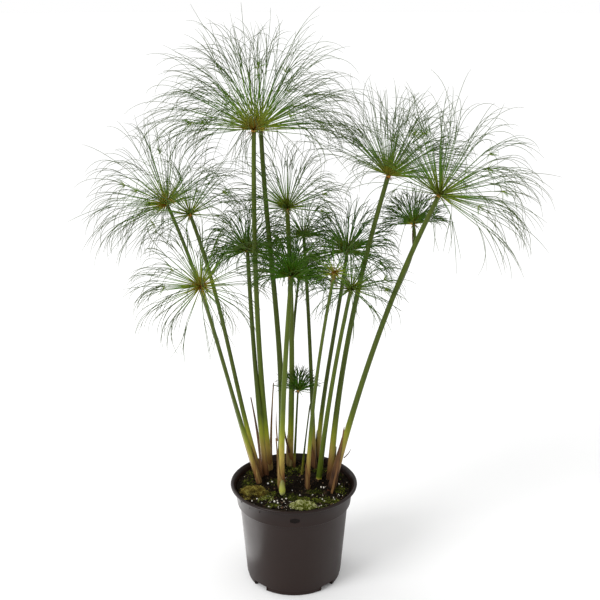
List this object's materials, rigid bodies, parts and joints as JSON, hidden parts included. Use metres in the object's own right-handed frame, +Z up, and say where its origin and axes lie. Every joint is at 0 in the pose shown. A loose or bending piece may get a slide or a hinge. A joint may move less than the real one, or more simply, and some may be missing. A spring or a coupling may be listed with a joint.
{
  "type": "potted papyrus plant",
  "caption": "Papyrus sedge with tall green stems and mop-like umbels of fine threads, growing in a dark plastic nursery pot of mossy soil.",
  "frame": {"origin": "centre of the flat underside of the pot, on the surface the pot stands on", "axes": "+Z up along the pot's axis, +X to the right and +Y to the back as the picture sees the plant"},
  "size_m": [0.6817, 0.4744, 0.8297],
  "materials": {
    "pot_plastic": "satin",
    "potting_soil": "matte",
    "culm_green": "satin",
    "umbel_green": "matte",
    "sheath_brown": "matte",
    "dead_leaf": "matte",
    "moss_green": "matte",
    "bud_green": "satin"
  },
  "bodies": {
    "root": {"culm_01": "culm_green", "culm_02": "culm_green", "culm_03": "culm_green", "culm_04": "culm_green", "culm_05": "culm_green", "culm_06": "culm_green", "culm_07": "culm_green", "culm_08": "culm_green", "culm_09": "culm_green", "culm_10": "culm_green", "culm_11": "culm_green", "culm_12": "culm_green", "culm_13": "culm_green", "culm_14": "culm_green", "culm_15": "culm_green", "culm_16": "culm_green", "culm_17": "culm_green", "cut_stub": "sheath_brown", "dead_blade": "dead_leaf", "dead_stalk": "dead_leaf", "dry_tip": "dead_leaf", "moss_front": "moss_green", "moss_left": "moss_green", "new_bud": "bud_green", "pot": "pot_plastic", "sheath_01": "sheath_brown", "sheath_05": "sheath_brown", "sheath_07": "sheath_brown", "sheath_08": "sheath_brown", "sheath_09": "sheath_brown", "sheath_11": "sheath_brown", "sheath_12": "sheath_brown", "sheath_14": "sheath_brown", "sheath_15": "sheath_brown", "soil": "potting_soil", "umbel_01": "umbel_green", "umbel_02": "umbel_green", "umbel_03": "umbel_green", "umbel_04": "umbel_green", "umbel_05": "umbel_green", "umbel_06": "umbel_green", "umbel_07": "umbel_green", "umbel_08": "umbel_green", "umbel_09": "umbel_green", "umbel_10": "umbel_green", "umbel_11": "umbel_green", "umbel_12": "umbel_green", "umbel_13": "umbel_green", "umbel_14": "umbel_green", "umbel_15": "umbel_green", "umbel_16": "umbel_green", "umbel_17": "umbel_green", "young_shoot": "culm_green"}
  },
  "joints": []
}
